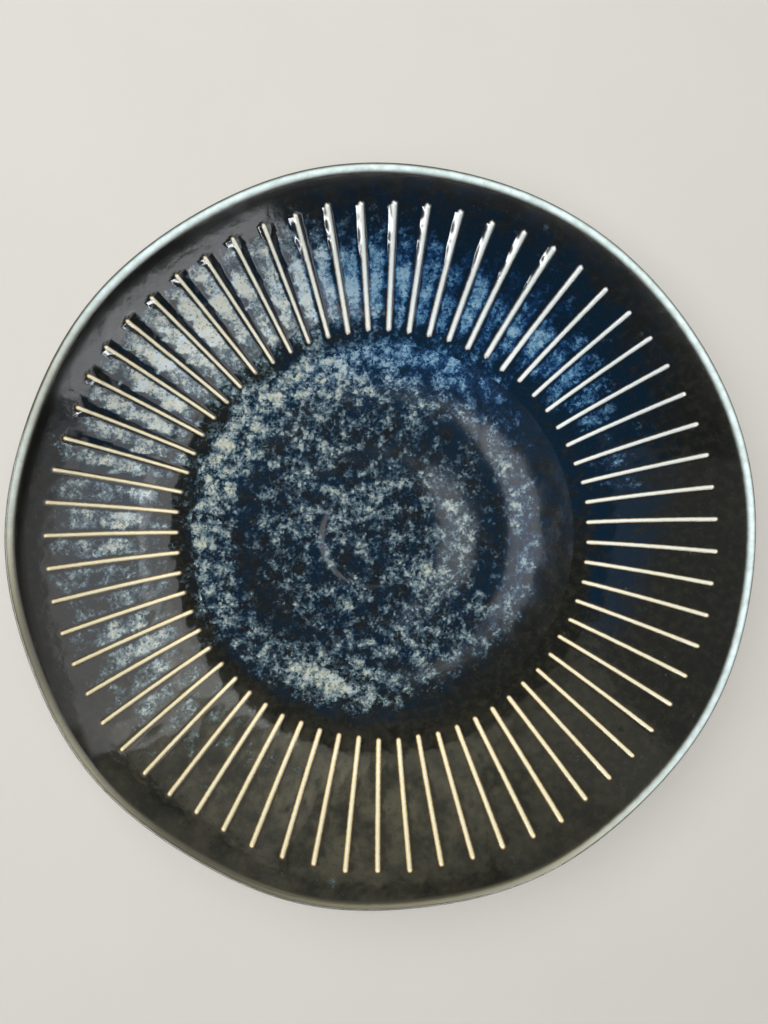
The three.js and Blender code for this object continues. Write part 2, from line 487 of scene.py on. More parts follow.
def surface(angle, along, lift=None):
    """Points of the glazed surface, or of the plain section moved out by a lift."""
    radius, height, face_out, face_up = section.read(along)
    if lift is None:
        lift = relief(angle, along, radius)
    radius = radius + face_out * lift
    height = height + face_up * lift
    push = sum(depth * np.cos(count * (angle - math.radians(crest))) for count, depth, crest in RIM_WAVES)
    radius = radius + push * smoothstep(WELL_RADIUS, RIM_RADIUS, radius)
    return placed(angle, radius, height)


def surface_facing(angle, along):
    """The direction that each point of the glazed surface faces."""
    step = 0.04
    least_radius = 1.0
    radius = np.maximum(section.read(along)[0], least_radius)
    round_way = surface(angle + step / radius, along) - surface(angle - step / radius, along)
    out_way = surface(angle, along + step) - surface(angle, along - step)
    face = np.cross(out_way, round_way)
    return face / np.linalg.norm(face, axis=-1, keepdims=True)


# Meshes

# Discs on a bake map: the main one for the face, and small ones in two corners for what is hidden
MAIN_DISC = (0.5, 0.5)
MAIN_SIZE = 0.488
CORNER = (0.935, 0.935)
OTHER_CORNER = (0.065, 0.935)
CORNER_SIZE = 0.06

# On the map a coat's edge folds out by a share of the way to the next cell's middle, or to half a cell past
# the last ring; the clay's foot takes the inner share of the main disc, and the faces that join it to the
# hidden wall lie in a ring outside that wall's disc
EDGE_FOLD = 0.3
HALF_CELL = 0.5
FOOT_SHARE = 0.5
BRIDGE_SHARE = 1.03


def on_disc(angle, share, centre=MAIN_DISC, size=MAIN_SIZE):
    """Places on a bake map: a disc that a share of its radius and an angle run over."""
    x = centre[0] + size * share * np.cos(angle)
    y = centre[1] + size * share * np.sin(angle)
    return np.stack([x, y], -1)


class Skin:
    """Points, faces, bake map, facing directions and surface values of one piece."""

    def __init__(self):
        self.points = []
        self.faces = []
        self.map = []
        self.facing = []
        self.smooth = []
        self.values = {}
        self.count = 0

    def add_points(self, points, values=None):
        """Adds points with their surface values, and gives their numbers in the same layout."""
        flat = points.reshape(-1, 3)
        numbers = np.arange(self.count, self.count + len(flat)).reshape(points.shape[:-1])
        self.points.append(flat)
        for name, value in (values or {}).items():
            self.values.setdefault(name, []).append((self.count, np.ravel(value)))
        self.count += len(flat)
        return numbers

    def add_faces(self, corners, places, facing=None, smooth=True):
        """Adds faces of equal size: corner numbers, map places and facing directions, corner by corner."""
        if facing is None:
            facing = np.zeros((*corners.shape, 3))
        self.faces.extend(corners.tolist())
        self.map.append(places.reshape(-1, 2))
        self.facing.append(facing.reshape(-1, 3))
        self.smooth.append(np.full(len(corners), smooth))

    def piece(self, name, finish):
        """Makes the object in metres."""
        mesh = bpy.data.meshes.new(name)
        points = np.concatenate(self.points) * MM
        used = np.unique(np.concatenate([np.ravel(face) for face in self.faces]))
        renumber = np.full(len(points), -1)
        renumber[used] = np.arange(len(used))
        mesh.from_pydata(points[used].tolist(), [], [renumber[face].tolist() for face in self.faces])
        mesh.polygons.foreach_set("use_smooth", np.concatenate(self.smooth))
        places = mesh.uv_layers.new(name="OFBake")
        places.data.foreach_set("uv", np.concatenate(self.map).ravel().astype(np.float32))
        for value_name, stretches in self.values.items():
            value = np.zeros(len(points), np.float32)
            for start, stretch in stretches:
                value[start : start + len(stretch)] = stretch
            layer = mesh.attributes.new(value_name, "FLOAT", "POINT")
            layer.data.foreach_set("value", value[used])
        mesh.update()
        mesh.normals_split_custom_set(np.concatenate(self.facing).tolist())
        mesh.materials.append(finish)
        piece = bpy.data.objects.new(name, mesh)
        bpy.context.scene.collection.objects.link(piece)
        return piece


def cells(grid):
    """The four corners of each cell of a layout whose columns run round, rows outwards."""
    after = np.roll(grid, -1, axis=1)
    return np.stack([grid[:-1], grid[1:], after[1:], after[:-1]], 2)


def coat(skin, top, under, places, under_places, face, values, keep=None, hubs=None):
    """Adds a closed coat: its face, its underside and the edges round what is left out.
    Hubs are the middle points of the face and the underside of a coat that is a whole disc."""
    rows, columns = top.shape[:2]
    if keep is None:
        keep = np.ones((rows - 1, columns), bool)
    upper = skin.add_points(top, values)
    lower = skin.add_points(under, values)
    corner_cells = cells(upper)
    lower_cells = cells(lower)
    map_cells = cells(places)
    skin.add_faces(corner_cells[keep], map_cells[keep], cells(face)[keep])
    skin.add_faces(lower_cells[keep][:, ::-1], cells(under_places)[keep][:, ::-1])
    middles = map_cells.mean(2)
    nothing = np.zeros((1, columns), bool)
    around = np.concatenate([nothing, keep, nothing])
    inward = places[:1] + HALF_CELL * (places[:1] - places[1:2])
    outward = places[-1:] + HALF_CELL * (places[-1:] - places[-2:-1])
    beyond = np.concatenate([inward, middles, outward])
    sides = [
        (0, 1, np.roll(keep, 1, 1), np.roll(middles, 1, 1)),
        (1, 2, around[2:], beyond[2:]),
        (2, 3, np.roll(keep, -1, 1), np.roll(middles, -1, 1)),
        (3, 0, around[:-2], beyond[:-2]),
    ]
    if hubs is not None:
        sides.pop()
        hub_values = {name: value[:1, :1] for name, value in values.items()}
        middle(skin, hubs[0], upper[0], places[0], hub_values, face[0])
        middle(skin, hubs[1], lower[0][::-1], under_places[0][::-1], hub_values)
    for a, b, neighbour, next_middle in sides:
        edge = keep & ~neighbour
        if not edge.any():
            continue
        first_place = map_cells[edge][:, a]
        second_place = map_cells[edge][:, b]
        fold = EDGE_FOLD * (next_middle[edge] - (first_place + second_place) / 2)
        ends = [corner_cells[edge][:, b], corner_cells[edge][:, a]]
        low_ends = [lower_cells[edge][:, a], lower_cells[edge][:, b]]
        spread = np.stack([second_place, first_place, first_place + fold, second_place + fold], 1)
        skin.add_faces(np.stack(ends + low_ends, 1), spread, smooth=False)


def middle(skin, point, ring, ring_places, values, ring_face=None):
    """Closes the hole inside a ring of points with a fan of triangles."""
    hub = skin.add_points(np.array([point]), values)[0]
    corners = np.stack([np.full_like(ring, hub), ring, np.roll(ring, -1)], 1)
    hub_place = np.broadcast_to(ring_places.mean(0), ring_places.shape)
    spread = np.stack([hub_place, ring_places, np.roll(ring_places, -1, 0)], 1)
    if ring_face is None:
        skin.add_faces(corners, spread)
        return
    hub_face = np.broadcast_to(ring_face.mean(0), ring_face.shape)
    skin.add_faces(corners, spread, np.stack([hub_face, ring_face, np.roll(ring_face, -1, 0)], 1))


def bared_and_highlit(angle, along, radius):
    """Distance from a rib's crest line, drawn out where less of the clay comes through, drawn in where more
    does, and drawn in on the left of the top ribs to widen their pale as a painted highlight.
    """
    across = rib_frame(angle, along, radius)[0]
    stretch = 1
    for directions, left, right in BARED_AND_HIGHLIT_RIBS:
        stretch = stretch + between(angle, *directions) * np.where(across > 0, left, right)
    return rib_distance(angle, along, radius) * stretch


def surface_values(angle, along):
    """What the finishes read from the surface: speckle, blue, milky clouds, the painted highlight of the top
    ribs, the pale of the lip with its painted light, the painted shade of the crease under it, and distances
    from a rib, from the lip's top and from the hem."""
    radius = section.read(along)[0]
    inside = along < section.lip_top
    dark_band = painted_dark_band(angle, along, radius)
    speckle = gathered(WELL_SPECKLE, SPECKLE, angle, radius) * (1 - smoothstep(*SPECKLE_END, radius))
    lip = along - section.lip_top
    # Painted shade on the outside of the lip
    narrowing = np.where(inside, 0, OUTER_LIP_SHADING * between(angle, *SHADED_OUTER_LIP))
    return {
        # The painted dark bands take out speckle and milk
        "speckle": speckle * (1 - DARK_BAND_COVER * dark_band) * inside,
        "cobalt": gathered(WELL_COBALT, COBALT, angle, radius) * inside,
        "milk": gathered(0, MILK, angle, radius) * (1 - dark_band) * inside,
        "rib_highlight": gathered(0, HIGHLIT_TOP_RIBS, angle, radius) * inside,
        "pale_and_lit_lip": gathered(0, PALE_AND_LIT_LIP, angle, radius),
        "crease_shade": between(angle, *SHADED_CREASE) * inside,
        "rib": np.where(inside, np.minimum(bared_and_highlit(angle, along, radius), FAR), FAR),
        "lip": lip * (1 + narrowing),
        "hem": section.end - along,
    }


def even_grid(rows, columns):
    """Lengths along the section by angles round the plate, evenly spaced round."""
    angles = 2 * math.pi * np.arange(columns) / columns
    along, angle = np.meshgrid(rows, angles, indexing="ij")
    return angle, along


def ring_coat(angle, along, depth, keep=None, hubs=None):
    """A coat that follows the glazed surface between two rings of the section."""
    skin = Skin()
    radius = section.read(along)[0]
    inner = 0 if radius[0].mean() < radius[-1].mean() else -1
    reach = radius[inner].mean() + np.abs(along - along[inner].mean())
    share = reach / reach.max()
    places = on_disc(angle, share)
    under_places = on_disc(angle, share, CORNER, CORNER_SIZE)
    values = surface_values(angle, along)
    face = surface_facing(angle, along)
    top = surface(angle, along)
    under = surface(angle, along, -depth)
    coat(skin, top, under, places, under_places, face, values, keep, hubs)
    return skin


# Layout of the wall: columns at set distances beside each rib and three in the gap to the next, and rows at
# shares of the way below, along and above the ribs, which go round the ribs' ends
BESIDE_CREST = np.array([0.3, 0.55, SLOT_HALF, 0.95, 1.25, 1.65, 2.15, 2.8])
BESIDE_RIB = np.concatenate([-BESIDE_CREST[::-1], [0], BESIDE_CREST])
GAP_COLUMNS = 3
BELOW_RIB = np.array([0, 0.3, 0.55, 0.74, 0.88])
RIB_TIP = np.array([0.006, 0.014, 0.026, 0.045])
ALONG_RIB = np.concatenate([[0], RIB_TIP, np.linspace(0.07, 0.93, 22), 1 - RIB_TIP[::-1]])
ABOVE_RIB = np.array([0, 0.04, 0.09, 0.17, 0.29, 0.45, 0.63, 0.82, 1])


def wall_grid():
    """Angles and lengths along the section on the wall, and which cells are the ribs' crests."""
    start = section.well_end
    end = section.wall_end - LIP_BAND
    cap = np.sqrt(np.maximum(SLOT_HALF**2 - BESIDE_RIB**2, 0))
    cap = np.concatenate([cap, np.zeros(GAP_COLUMNS)])
    low = rib_starts[:, None] - cap
    high = rib_ends[:, None] + cap
    below = start + BELOW_RIB[:, None, None] * (low - start)
    middle_rows = low + ALONG_RIB[:, None, None] * (high - low)
    above = high + ABOVE_RIB[:, None, None] * (end - high)
    along = np.concatenate([below, middle_rows, above])
    radius = section.read(along)[0]
    beside = BESIDE_RIB / radius[..., : len(BESIDE_RIB)]
    half_way = np.full_like(beside[..., -1:], RIB_PITCH / 2)
    quarter_way = (beside[..., -1:] + half_way) / 2
    offset = np.concatenate([beside, quarter_way, half_way, RIB_PITCH - quarter_way], -1)
    angle = FIRST_RIB + RIB_PITCH * np.arange(RIB_COUNT)[:, None] + offset
    rows, _, columns = along.shape
    crest_row = np.zeros(rows - 1, bool)
    crest_row[len(BELOW_RIB) : len(BELOW_RIB) + len(ALONG_RIB)] = True
    crest_column = np.zeros(columns, bool)
    crest_column[: len(BESIDE_RIB)] = (BESIDE_RIB >= -SLOT_HALF) & (BESIDE_RIB < SLOT_HALF)
    crest = crest_row[:, None] & np.tile(crest_column, RIB_COUNT)
    return angle.reshape(rows, -1), along.reshape(rows, -1), crest


# Node trees


class Tone:
    """A value in a finish's node tree; arithmetic on tones adds Math nodes."""

    def __init__(self, finish, socket):
        self.finish = finish
        self.socket = socket

    def math(self, operation, *values):
        return self.finish.node("ShaderNodeMath", {"operation": operation}, dict(enumerate(values)))

    def __add__(self, other):
        return self.math("ADD", self, other)

    __radd__ = __add__

    def __sub__(self, other):
        return self.math("SUBTRACT", self, other)

    def __rsub__(self, other):
        return self.math("SUBTRACT", other, self)

    def __mul__(self, other):
        return self.math("MULTIPLY", self, other)

    __rmul__ = __mul__

    def __abs__(self):
        return self.math("ABSOLUTE", self)

    def rise(self, low, high):
        """0 below low, 1 above high and a smooth rise between them."""
        inputs = {0: self, 1: low, 2: high}
        return self.finish.node("ShaderNodeMapRange", {"interpolation_type": "SMOOTHSTEP"}, inputs)


class Finish:
    """A material whose node tree is put together from tones."""

    def __init__(self, name):
        self.material = bpy.data.materials.new(name)
        self.material.use_nodes = True
        self.tree = self.material.node_tree
        self.tree.nodes.clear()
        self.place = self.node("ShaderNodeTexCoord", {}, {}, "Object")

    def node(self, kind, settings, inputs, output=0):
        """Adds a node: its settings first, then the values or links of its inputs."""
        node = self.tree.nodes.new(kind)
        for name, value in settings.items():
            setattr(node, name, value)
        for key, value in inputs.items():
            if isinstance(value, Tone):
                self.tree.links.new(value.socket, node.inputs[key])
            else:
                node.inputs[key].default_value = value
        return Tone(self, node.outputs[output]) if node.outputs else None

    def value(self, name):
        """A value stored on the surface."""
        return self.node("ShaderNodeAttribute", {"attribute_name": name}, {}, "Fac")

    def grain(self, size, detail=3, roughness=0.55):
        """Cloudy noise whose largest marks measure about a size in millimetres."""
        inputs = {"Vector": self.place, "Scale": 1 / (size * MM), "Detail": detail, "Roughness": roughness}
        return self.node("ShaderNodeTexNoise", {}, inputs)

    def crumbs(self, size):
        """Small crooked cells, each with a shade of its own, about a size in millimetres wide."""
        bend = {"Vector": self.place, "Scale": 1 / (size * MM), "Detail": 2}
        bent = self.node("ShaderNodeTexNoise", {}, bend, "Color")
        inputs = {0: bent, 1: (0.9 * size * MM,) * 3, 2: self.place}
        place = self.node("ShaderNodeVectorMath", {"operation": "MULTIPLY_ADD"}, inputs)
        return self.node("ShaderNodeTexVoronoi", {}, {"Vector": place, "Scale": 1 / (size * MM)}, "Color")

    def mix(self, share, first, second):
        """The second colour over the first."""
        return self.node("ShaderNodeMix", {"data_type": "RGBA"}, {0: share, 6: first, 7: second}, 2)

    def shine(self, colour, roughness, height=None, depth=0.0, **fixed):
        """Ends the tree with one shader whose fixed values are set on its own sockets."""
        inputs = {"Base Color": colour, "Roughness": roughness, **fixed}
        if height is not None:
            bump = {"Height": height, "Distance": depth * MM, "Strength": 1.0}
            inputs["Normal"] = self.node("ShaderNodeBump", {}, bump)
        shader = self.node("ShaderNodeBsdfPrincipled", {}, inputs)
        self.node("ShaderNodeOutputMaterial", {}, {"Surface": shader})
        return self.material


def paint(red, green, blue):
    """A colour as it is seen on a screen, from 0 to 255, in the values that light adds up in."""
    seen = np.array([red, green, blue]) / 255
    linear = np.where(seen <= 0.04045, seen / 12.92, ((seen + 0.055) / 1.055) ** 2.4)
    return (*linear.tolist(), 1.0)


# Colours
BLACK_GLAZE = paint(22, 23, 19)
MILKY_GLAZE = paint(83, 80, 65)
NAVY = paint(4, 29, 47)
COBALT_BLUE = paint(16, 58, 106)
SKY_BLUE = paint(104, 158, 192)
SLATE_BLUE = paint(104, 132, 143)
CREAM_SPECKLE = paint(194, 196, 176)
ICE_SPECKLE = paint(181, 194, 198)
# Brighter flakes for the wall, partly painted sheen of its reflections
CREAM_FLAKE_AND_SHEEN = paint(204, 208, 196)
ICE_FLAKE_AND_SHEEN = paint(200, 217, 226)
PORE = paint(26, 38, 48)
AMBER = paint(92, 62, 32)
RIB_CREAM = paint(255, 252, 222)
RIB_TAN = paint(254, 246, 210)
RIB_HONEY = paint(240, 212, 142)
# Painted highlight on the top ribs
RIB_HIGHLIGHT_WHITE = paint(243, 254, 255)
CELADON = paint(234, 253, 255)
CELADON_DEEP = paint(206, 224, 222)
LIP_CREAM = paint(222, 218, 188)
RIM_BROWN = paint(60, 57, 46)
# Painted shade in the crease under the lip
CREASE_SHADE_BLACK = paint(8, 9, 7)
FOOT_CLAY = paint(206, 188, 152)
FOOT_SAND = paint(168, 146, 108)
FLOOR_PALE = paint(218, 216, 211)
FLOOR_SHADE = paint(213, 211, 205)

# Distances from a rib's crest line over which one finish goes over to the next
CREAM_TO_HONEY = (0.2, 0.6)
CLAY_TO_AMBER = (0.3, 0.74)
AMBER_TO_GLAZE = (0.62, 0.9)
CLEAR_OF_RIB = (0.9, 2.0)
SMOOTH_BESIDE_RIB = (1.2, 2.6)
RIB_TO_FOOT = (3, 4)

# Distances below the lip's top where the painted shade in the crease starts and ends, on both sides of it
# where brown goes over to the glaze, and, counted up to the top, where the wall's fine unevenness ends
CREASE_SHADE_START = (2.0, 2.6)
CREASE_SHADE_END = (4.2, 4.7)
BROWN_TO_GLAZE = (1.0, 2.0)
UNEVEN_TO_SMOOTH = (-8, -4)

# Distances from a coat's hem over which amber goes over to the glaze, and how far that line wanders
OUTSIDE_AMBER = (0.6, 3.0)
RECESS_AMBER = (0.4, 2.4)
AMBER_WANDER = 1.2

# Depth of the fine unevenness of glaze, of the thin glaze on the rim and of clay; in a glaze also the share
# of small marks and the middle height
GLAZE_BUMP = 0.06
RIM_BUMP = 0.03
CLAY_BUMP = 0.12
SMALL_MARKS = 0.12
BUMP_MIDDLE = 0.5 + SMALL_MARKS / 2


def dark_colour(finish):
    """Near black glaze with faint milky clouds, stronger where it is milky."""
    faint = 0.16 * finish.grain(2.4, 5, 0.6).rise(0.40, 0.72)
    broad = finish.grain(9, 5, 0.62).rise(0.36, 0.64)
    return finish.mix(faint + 0.75 * finish.value("milk") * broad, BLACK_GLAZE, MILKY_GLAZE)


def inside_colour(finish, flake, contrast, halo, cream, ice):
    """The glaze inside the dish: near black, blue in places, with crumbly pale speckle where it gathers."""
    clear_of_rib = finish.value("rib").rise(*CLEAR_OF_RIB)
    cobalt = finish.value("cobalt")
    gather = finish.value("speckle") * (0.35 + 0.65 * clear_of_rib)
    cluster = contrast * (finish.grain(flake, 6, 0.62) - 0.5)
    crumb = 0.24 * (finish.crumbs(0.85) - 0.5) + 0.2 * (finish.grain(0.6, 2) - 0.5)
    amount = 0.5 + cluster + crumb + 0.62 * (gather - 0.55)
    patchy = cobalt * (0.5 + finish.grain(5, 4, 0.6).rise(0.35, 0.65))
    deep = finish.mix(patchy.rise(0.0, 0.5), dark_colour(finish), NAVY)
    deep = finish.mix((amount + 0.2 * cobalt).rise(0.42, 0.70) * cobalt, deep, COBALT_BLUE)
    very_blue = cobalt.rise(0.35, 0.95)
    misty = finish.mix(very_blue, SLATE_BLUE, SKY_BLUE)
    pale = finish.mix(0.85 * amount.rise(0.42 - halo, 0.68), deep, misty)
    white = finish.mix((finish.grain(3) + 0.5 * very_blue).rise(0.48, 0.66), cream, ice)
    speckled = finish.mix(amount.rise(0.52, 0.8) * (1 - 0.6 * very_blue), pale, white)
    pores = finish.grain(0.9, 2, 0.5).rise(0.58, 0.72)
    return finish.mix(0.7 * pores, speckled, PORE)


def over_ribs(finish, glaze):
    """The glaze thins to amber on a rib's shoulder, then to honey, and bares the cream clay on its crest; on
    the top ribs the crest is painted bluish white as a highlight.
    """
    edge = finish.value("rib") + 0.2 * (finish.grain(1.1) - 0.5)
    clay = finish.mix(finish.grain(5, 4, 0.6).rise(0.3, 0.7), RIB_TAN, RIB_CREAM)
    clay = finish.mix(edge.rise(*CREAM_TO_HONEY), clay, RIB_HONEY)
    # Painted highlight of the top ribs
    clay = finish.mix(finish.value("rib_highlight"), clay, RIB_HIGHLIGHT_WHITE)
    amber = finish.mix(0.8 * (1 - edge.rise(*AMBER_TO_GLAZE)), glaze, AMBER)
    return finish.mix(1 - edge.rise(*CLAY_TO_AMBER), amber, clay)


def towards_lip(finish, glaze):
    """Above a crease painted black as shade, the glaze thins through brown to celadon on the lip, or to a
    narrow cream line; the pale of the lip is partly painted light.
    """
    below = 0.6 * (finish.grain(7, 2) - 0.5) - finish.value("lip")
    # Painted shade: black in the crease under the lip
    crease_shade = finish.value("crease_shade") * below.rise(*CREASE_SHADE_START) * (1 - below.rise(*CREASE_SHADE_END))
    glaze = finish.mix(crease_shade, glaze, CREASE_SHADE_BLACK)
    # Pale of the lip, partly painted light
    pale = finish.value("pale_and_lit_lip")
    lip = abs(finish.value("lip") + 0.12) + 0.3 * (finish.grain(2.5) - 0.5)
    celadon = finish.mix(finish.grain(3.0, 5, 0.6).rise(0.3, 0.7), CELADON_DEEP, CELADON)
    celadon = finish.mix(pale.rise(0.35, 0.95), LIP_CREAM, celadon)
    brown = finish.mix(1 - lip.rise(*BROWN_TO_GLAZE), glaze, RIM_BROWN)
    return finish.mix(pale * (1 - lip.rise(0.25, 0.85 + 0.75 * pale)), brown, celadon)


def towards_hem(finish, cloud, amber):
    """Near black glaze with clouds of navy of a size in millimetres, which thins to amber at its hem."""
    dark = finish.mix(finish.grain(cloud, 4, 0.6).rise(0.4, 0.62), BLACK_GLAZE, NAVY)
    hem = finish.value("hem") + AMBER_WANDER * (finish.grain(6) - 0.5)
    return finish.mix(1 - hem.rise(*amber), dark, AMBER)


def glaze_skin(finish):
    """Fine unevenness of a glossy glaze."""
    return finish.grain(4.5, 2, 0.4) + SMALL_MARKS * finish.grain(0.9, 2, 0.5)


def well_finish():
    finish = Finish("well_glaze")
    roughness = 0.1 + 0.1 * finish.grain(6)
    colour = inside_colour(finish, flake=4.0, contrast=1.0, halo=0.0, cream=CREAM_SPECKLE, ice=ICE_SPECKLE)
    return finish.shine(colour, roughness, glaze_skin(finish), GLAZE_BUMP)


def wall_finish():
    """Under the lip and beside the ribs the wall's glaze is smooth."""
    finish = Finish("wall_glaze")
    roughness = 0.06 + 0.06 * finish.grain(6)
    # The wall's brighter flakes are partly painted sheen
    glaze = inside_colour(finish, flake=6.5, contrast=1.2, halo=0.045, cream=CREAM_FLAKE_AND_SHEEN, ice=ICE_FLAKE_AND_SHEEN)
    under_lip = finish.value("lip").rise(*UNEVEN_TO_SMOOTH)
    uneven = (1 - under_lip) * finish.value("rib").rise(*SMOOTH_BESIDE_RIB)
    skin = (glaze_skin(finish) - BUMP_MIDDLE) * uneven
    return finish.shine(towards_lip(finish, over_ribs(finish, glaze)), roughness, skin, GLAZE_BUMP)


def rim_finish():
    finish = Finish("rim_glaze")
    roughness = 0.07 + 0.05 * finish.grain(4)
    return finish.shine(towards_lip(finish, dark_colour(finish)), roughness, glaze_skin(finish), RIM_BUMP)


def outside_finish():
    finish = Finish("outside_glaze")
    roughness = 0.07 + 0.06 * finish.grain(6)
    glaze = towards_hem(finish, cloud=9, amber=OUTSIDE_AMBER)
    return finish.shine(towards_lip(finish, glaze), roughness, glaze_skin(finish), GLAZE_BUMP)


def recess_finish():
    finish = Finish("foot_recess_glaze")
    roughness = 0.1 + 0.08 * finish.grain(6)
    glaze = towards_hem(finish, cloud=11, amber=RECESS_AMBER)
    return finish.shine(glaze, roughness, glaze_skin(finish), GLAZE_BUMP)


def clay_finish():
    finish = Finish("stoneware_clay")
    on_rib = 1 - finish.value("rib").rise(*RIB_TO_FOOT)
    sand = finish.mix(finish.grain(1.2, 5, 0.7).rise(0.42, 0.66), FOOT_CLAY, FOOT_SAND)
    colour = finish.mix(on_rib, sand, over_ribs(finish, BLACK_GLAZE))
    roughness = 0.8 - 0.7 * on_rib + 0.08 * finish.grain(1.5)
    height = (1 - on_rib) * finish.grain(0.7, 4, 0.7) + 0.2 * finish.grain(2.5, 2)
    return finish.shine(colour, roughness, height, CLAY_BUMP)


# Pieces


def show(skin, name, finish, node):
    """Makes a piece of a skin that stands for a solid, and lets it ride on the plate."""
    piece = skin.piece(name, finish)
    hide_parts(node)
    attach(piece, "root")


def well_skin():
    rows = np.linspace(MIDDLE_RADIUS, section.well_end, WELL_ROWS)
    angle, along = even_grid(rows, WELL_COLUMNS)
    top = surface(angle[:1], along[:1])[0, :, 2].mean()
    return ring_coat(angle, along, GLAZE, hubs=[(0, 0, top), (0, 0, WELL_TOP - GLAZE)])


def rim_skin():
    rows = np.linspace(section.wall_end - LIP_BAND, section.lip_end + LIP_BAND, RIM_ROWS)
    return ring_coat(*even_grid(rows, TURNED_COLUMNS), GLAZE)


def outside_skin():
    """The outside coat, whose lower edge drifts a little round the foot."""
    angle, share = even_grid(np.linspace(0, 1, OUTSIDE_ROWS), TURNED_COLUMNS)
    start = section.lip_end + LIP_BAND
    drift = HEM_DRIFT * (1 + UNEVEN_HEM * ripples(angle, HEM_RIPPLE_RADIUS, *HEM_RIPPLES))
    return ring_coat(angle, start + share * (section.end - drift - start), GLAZE)


def recess_skin():
    """The coat under the floor, inside the foot, with a rolled edge; it faces down."""
    edge = FOOT_BORE - GLAZE_LINE
    angle, radius = even_grid(np.linspace(MIDDLE_RADIUS, edge, RECESS_ROWS), TURNED_COLUMNS)
    angle = -angle
    turning = TURNING_RISE * np.cos(2 * math.pi * radius / TURNING_SPACING)
    height = FOOT_HEIGHT + turning + GLAZE * smoothstep(edge - HEM_ROUND, edge, radius) ** 2
    back_height = FOOT_HEIGHT + GLAZE + RECESS_EDGE
    face = placed(angle, radius, height)
    back = placed(angle, radius, np.full_like(height, back_height))
    skin = Skin()
    places = on_disc(angle, radius / edge)
    back_places = on_disc(angle, radius / edge, CORNER, CORNER_SIZE)
    hubs = [(0, 0, FOOT_HEIGHT + TURNING_RISE), (0, 0, back_height)]
    coat(skin, face, back, places, back_places, np.zeros_like(face), {"hem": edge - radius}, hubs=hubs)
    return skin


def arc(centre, radius, start, end, count):
    """Points of an arc of the section, by angles in degrees."""
    turn = np.radians(np.linspace(start, end, count))
    return np.stack([centre[0] + radius * np.cos(turn), centre[1] + radius * np.sin(turn)], 1)


def foot_line():
    """Section of the clay from the middle under the floor, over the foot and out behind the hem."""
    under_floor = FOOT_HEIGHT + CLAY_DEPTH
    inner_fillet = (FOOT_BORE - FOOT_ROUND, under_floor - FOOT_ROUND)
    outer_fillet = (FOOT_RADIUS + FOOT_ROUND, under_floor - FOOT_ROUND)
    return np.concatenate(
        [
            np.linspace((MIDDLE_RADIUS, under_floor), (inner_fillet[0], under_floor), FOOT_FLAT_POINTS),
            arc(inner_fillet, FOOT_ROUND, 80, 10, FOOT_FILLET_POINTS),
            arc((FOOT_BORE + FOOT_ROUND, FOOT_ROUND), FOOT_ROUND, 180, 270, FOOT_ROUND_POINTS),
            arc((FOOT_RADIUS - FOOT_ROUND, FOOT_ROUND), FOOT_ROUND, 270, 360, FOOT_ROUND_POINTS),
            arc(outer_fillet, FOOT_ROUND, 170, 100, FOOT_FILLET_POINTS),
            [(FOOT_RADIUS + GLAZE_LINE + BARE_LAP, under_floor)],
        ]
    )


def add_turned(skin, numbers, places):
    """Adds the faces between rows that run outwards under the plate and on up behind the coats."""
    skin.add_faces(cells(numbers)[:, :, ::-1].reshape(-1, 4), cells(places)[:, :, ::-1])


def clay_skin(angle, along, crest):
    """The clay: the crests of the ribs, and the turned body that shows at the foot."""
    skin = ring_coat(angle, along, RIB_ROOT, crest)
    foot = foot_line()
    turn, radius = even_grid(foot[:, 0], TURNED_COLUMNS)
    shown = placed(turn, radius, np.broadcast_to(foot[:, 1:], radius.shape))
    reach = lengths(foot)
    foot_places = on_disc(turn, FOOT_SHARE * (reach / reach[-1])[:, None])
    hidden_rows = np.linspace(section.end - BODY_LAP, MIDDLE_RADIUS, BODY_ROWS)
    hidden_turn, hidden_at = even_grid(hidden_rows, TURNED_COLUMNS)
    hidden = surface(hidden_turn, hidden_at, -CLAY_DEPTH)
    hidden_share = (hidden_at - hidden_at.min() + MIDDLE_RADIUS) / hidden_at.max()
    hidden_places = on_disc(hidden_turn, hidden_share, OTHER_CORNER, CORNER_SIZE)
    bridge_places = on_disc(hidden_turn[:1], BRIDGE_SHARE, OTHER_CORNER, CORNER_SIZE)
    body = np.concatenate([shown, hidden])
    numbers = skin.add_points(body, {"rib": np.full(body.shape[:2], FAR)})
    add_turned(skin, numbers[: len(foot)], foot_places)
    add_turned(skin, numbers[len(foot) - 1 :], np.concatenate([bridge_places, hidden_places]))
    middle(skin, (0, 0, foot[0, 1]), numbers[0][::-1], foot_places[0][::-1], {"rib": FAR})
    middle(skin, (0, 0, WELL_TOP - CLAY_DEPTH), numbers[-1], hidden_places[-1], {"rib": FAR})
    return skin


wall_angle, wall_along, crest_cells = wall_grid()
wall_skin = ring_coat(wall_angle, wall_along, GLAZE, ~crest_cells)
show(well_skin(), "well_glaze_surface", well_finish(), "well_glaze")
show(wall_skin, "wall_glaze_surface", wall_finish(), "wall_glaze")
show(rim_skin(), "rim_glaze_surface", rim_finish(), "rim_glaze")
show(outside_skin(), "outside_glaze_surface", outside_finish(), "outside_glaze")
show(recess_skin(), "foot_recess_surface", recess_finish(), "foot_recess_glaze")
clay = clay_skin(wall_angle, wall_along, crest_cells)
show(clay, "stoneware_clay", clay_finish(), "stoneware_body")

# Studio: half width of the pale floor in metres, its drop below the foot, and the grey of the room
FLOOR_HALF = 2.0
FLOOR_DROP = 0.1
ROOM_GREY = 0.08

